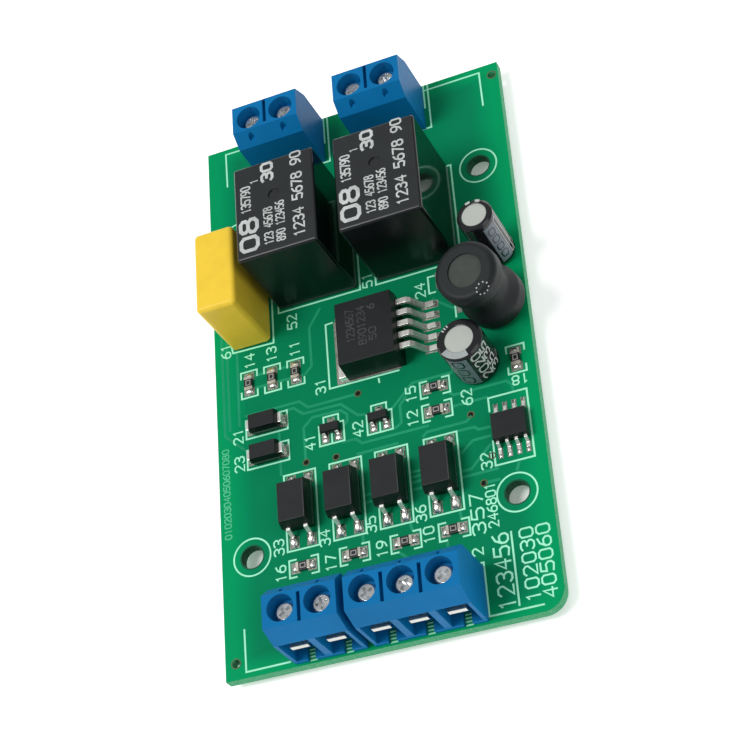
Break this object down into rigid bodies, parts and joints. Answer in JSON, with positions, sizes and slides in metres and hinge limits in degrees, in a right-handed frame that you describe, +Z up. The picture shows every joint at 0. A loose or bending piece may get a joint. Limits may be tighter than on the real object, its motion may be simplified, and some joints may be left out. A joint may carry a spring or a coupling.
{
  "type": "dc motor driver module",
  "caption": "Rectangular circuit board with relays, screw terminal blocks, a switching regulator with coil and capacitors, optocouplers and small surface parts.",
  "frame": {"origin": "centre of the bounding box at the level of the cut lead tips under the board, which the module rests on", "axes": "+Z up out of the component side, +Y along the board's long side towards the two 2-pole output terminal blocks, +X across the board"},
  "size_m": [0.0468, 0.0856, 0.017],
  "materials": {
    "board": "satin",
    "terminal_plastic": "satin",
    "relay_plastic": "gloss",
    "moulded_package": "matte",
    "yellow_case": "gloss",
    "can_metal": "satin",
    "sleeve_film": "gloss",
    "seal_rubber": "matte",
    "ferrite": "matte",
    "copper_wire": "satin",
    "resistor_glaze": "gloss",
    "tinned_metal": "satin",
    "screw_steel": "gloss",
    "clamp_metal": "satin"
  },
  "bodies": {
    "module": {"circuit_board": "board", "terminal_housing_1": "terminal_plastic", "terminal_contacts_1": "tinned_metal", "terminal_housing_2": "terminal_plastic", "terminal_contacts_2": "tinned_metal", "terminal_housing_3": "terminal_plastic", "terminal_contacts_3": "tinned_metal", "terminal_housing_4": "terminal_plastic", "terminal_contacts_4": "tinned_metal", "relay_cover_1": "relay_plastic", "relay_base_1": "relay_plastic", "relay_pins_1": "tinned_metal", "relay_cover_2": "relay_plastic", "relay_base_2": "relay_plastic", "relay_pins_2": "tinned_metal", "film_capacitor_body": "yellow_case", "film_capacitor_leads": "tinned_metal", "input_capacitor_can": "can_metal", "input_capacitor_sleeve": "sleeve_film", "input_capacitor_seal": "seal_rubber", "input_capacitor_leads": "tinned_metal", "output_capacitor_can": "can_metal", "output_capacitor_sleeve": "sleeve_film", "output_capacitor_seal": "seal_rubber", "output_capacitor_leads": "tinned_metal", "coil_core": "ferrite", "coil_winding": "copper_wire", "coil_sleeve": "sleeve_film", "coil_leads": "tinned_metal", "regulator_body": "moulded_package", "regulator_tab": "tinned_metal", "regulator_leads": "tinned_metal", "driver_chip_body": "moulded_package", "driver_chip_leads": "tinned_metal", "optocoupler_bodies": "moulded_package", "optocoupler_leads": "tinned_metal", "transistor_bodies": "moulded_package", "transistor_leads": "tinned_metal", "diode_bodies": "moulded_package", "diode_leads": "tinned_metal", "resistor_bodies": "resistor_glaze", "resistor_end_caps": "tinned_metal"},
    "screw_1": {"terminal_screw_1": "screw_steel"},
    "clamp_1": {"wire_clamp_1": "clamp_metal"},
    "screw_2": {"terminal_screw_2": "screw_steel"},
    "clamp_2": {"wire_clamp_2": "clamp_metal"},
    "screw_3": {"terminal_screw_3": "screw_steel"},
    "clamp_3": {"wire_clamp_3": "clamp_metal"},
    "screw_4": {"terminal_screw_4": "screw_steel"},
    "clamp_4": {"wire_clamp_4": "clamp_metal"},
    "screw_5": {"terminal_screw_5": "screw_steel"},
    "clamp_5": {"wire_clamp_5": "clamp_metal"},
    "screw_6": {"terminal_screw_6": "screw_steel"},
    "clamp_6": {"wire_clamp_6": "clamp_metal"},
    "screw_7": {"terminal_screw_7": "screw_steel"},
    "clamp_7": {"wire_clamp_7": "clamp_metal"},
    "screw_8": {"terminal_screw_8": "screw_steel"},
    "clamp_8": {"wire_clamp_8": "clamp_metal"},
    "screw_9": {"terminal_screw_9": "screw_steel"},
    "clamp_9": {"wire_clamp_9": "clamp_metal"}
  },
  "joints": [
    {"name": "screw_1_turn", "type": "hinge", "parent": "module", "child": "screw_1", "pos_m": [-0.01179, 0.03885, 0.01085], "axis": [0, 0, 1], "range_deg": [0, 1440.1]},
    {"name": "clamp_1_slide", "type": "slide", "parent": "module", "child": "clamp_1", "axis": [0, 0, -1], "range_m": [0, 0.0018]},
    {"name": "screw_2_turn", "type": "hinge", "parent": "module", "child": "screw_2", "pos_m": [-0.00671, 0.03885, 0.01085], "axis": [0, 0, 1], "range_deg": [0, 1440.1]},
    {"name": "clamp_2_slide", "type": "slide", "parent": "module", "child": "clamp_2", "axis": [0, 0, -1], "range_m": [0, 0.0018]},
    {"name": "screw_3_turn", "type": "hinge", "parent": "module", "child": "screw_3", "pos_m": [0.00411, 0.03885, 0.01085], "axis": [0, 0, 1], "range_deg": [0, 1440.1]},
    {"name": "clamp_3_slide", "type": "slide", "parent": "module", "child": "clamp_3", "axis": [0, 0, -1], "range_m": [0, 0.0018]},
    {"name": "screw_4_turn", "type": "hinge", "parent": "module", "child": "screw_4", "pos_m": [0.00919, 0.03885, 0.01085], "axis": [0, 0, 1], "range_deg": [0, 1440.1]},
    {"name": "clamp_4_slide", "type": "slide", "parent": "module", "child": "clamp_4", "axis": [0, 0, -1], "range_m": [0, 0.0018]},
    {"name": "screw_5_turn", "type": "hinge", "parent": "module", "child": "screw_5", "pos_m": [-0.01065, -0.0388, 0.01085], "axis": [0, 0, 1], "range_deg": [0, 1440.1]},
    {"name": "clamp_5_slide", "type": "slide", "parent": "module", "child": "clamp_5", "axis": [0, 0, -1], "range_m": [0, 0.0018]},
    {"name": "screw_6_turn", "type": "hinge", "parent": "module", "child": "screw_6", "pos_m": [-0.00557, -0.0388, 0.01085], "axis": [0, 0, 1], "range_deg": [0, 1440.1]},
    {"name": "clamp_6_slide", "type": "slide", "parent": "module", "child": "clamp_6", "axis": [0, 0, -1], "range_m": [0, 0.0018]},
    {"name": "screw_7_turn", "type": "hinge", "parent": "module", "child": "screw_7", "pos_m": [0.00052, -0.0388, 0.01085], "axis": [0, 0, 1], "range_deg": [0, 1440.1]},
    {"name": "clamp_7_slide", "type": "slide", "parent": "module", "child": "clamp_7", "axis": [0, 0, -1], "range_m": [0, 0.0018]},
    {"name": "screw_8_turn", "type": "hinge", "parent": "module", "child": "screw_8", "pos_m": [0.0056, -0.0388, 0.01085], "axis": [0, 0, 1], "range_deg": [0, 1440.1]},
    {"name": "clamp_8_slide", "type": "slide", "parent": "module", "child": "clamp_8", "axis": [0, 0, -1], "range_m": [0, 0.0018]},
    {"name": "screw_9_turn", "type": "hinge", "parent": "module", "child": "screw_9", "pos_m": [0.01068, -0.0388, 0.01085], "axis": [0, 0, 1], "range_deg": [0, 1440.1]},
    {"name": "clamp_9_slide", "type": "slide", "parent": "module", "child": "clamp_9", "axis": [0, 0, -1], "range_m": [0, 0.0018]}
  ],
  "couplings": [
    {"joint": "screw_1_turn", "follows": "clamp_1_slide", "rad_per_m": 13963},
    {"joint": "screw_2_turn", "follows": "clamp_2_slide", "rad_per_m": 13963},
    {"joint": "screw_3_turn", "follows": "clamp_3_slide", "rad_per_m": 13963},
    {"joint": "screw_4_turn", "follows": "clamp_4_slide", "rad_per_m": 13963},
    {"joint": "screw_5_turn", "follows": "clamp_5_slide", "rad_per_m": 13963},
    {"joint": "screw_6_turn", "follows": "clamp_6_slide", "rad_per_m": 13963},
    {"joint": "screw_7_turn", "follows": "clamp_7_slide", "rad_per_m": 13963},
    {"joint": "screw_8_turn", "follows": "clamp_8_slide", "rad_per_m": 13963},
    {"joint": "screw_9_turn", "follows": "clamp_9_slide", "rad_per_m": 13963}
  ]
}
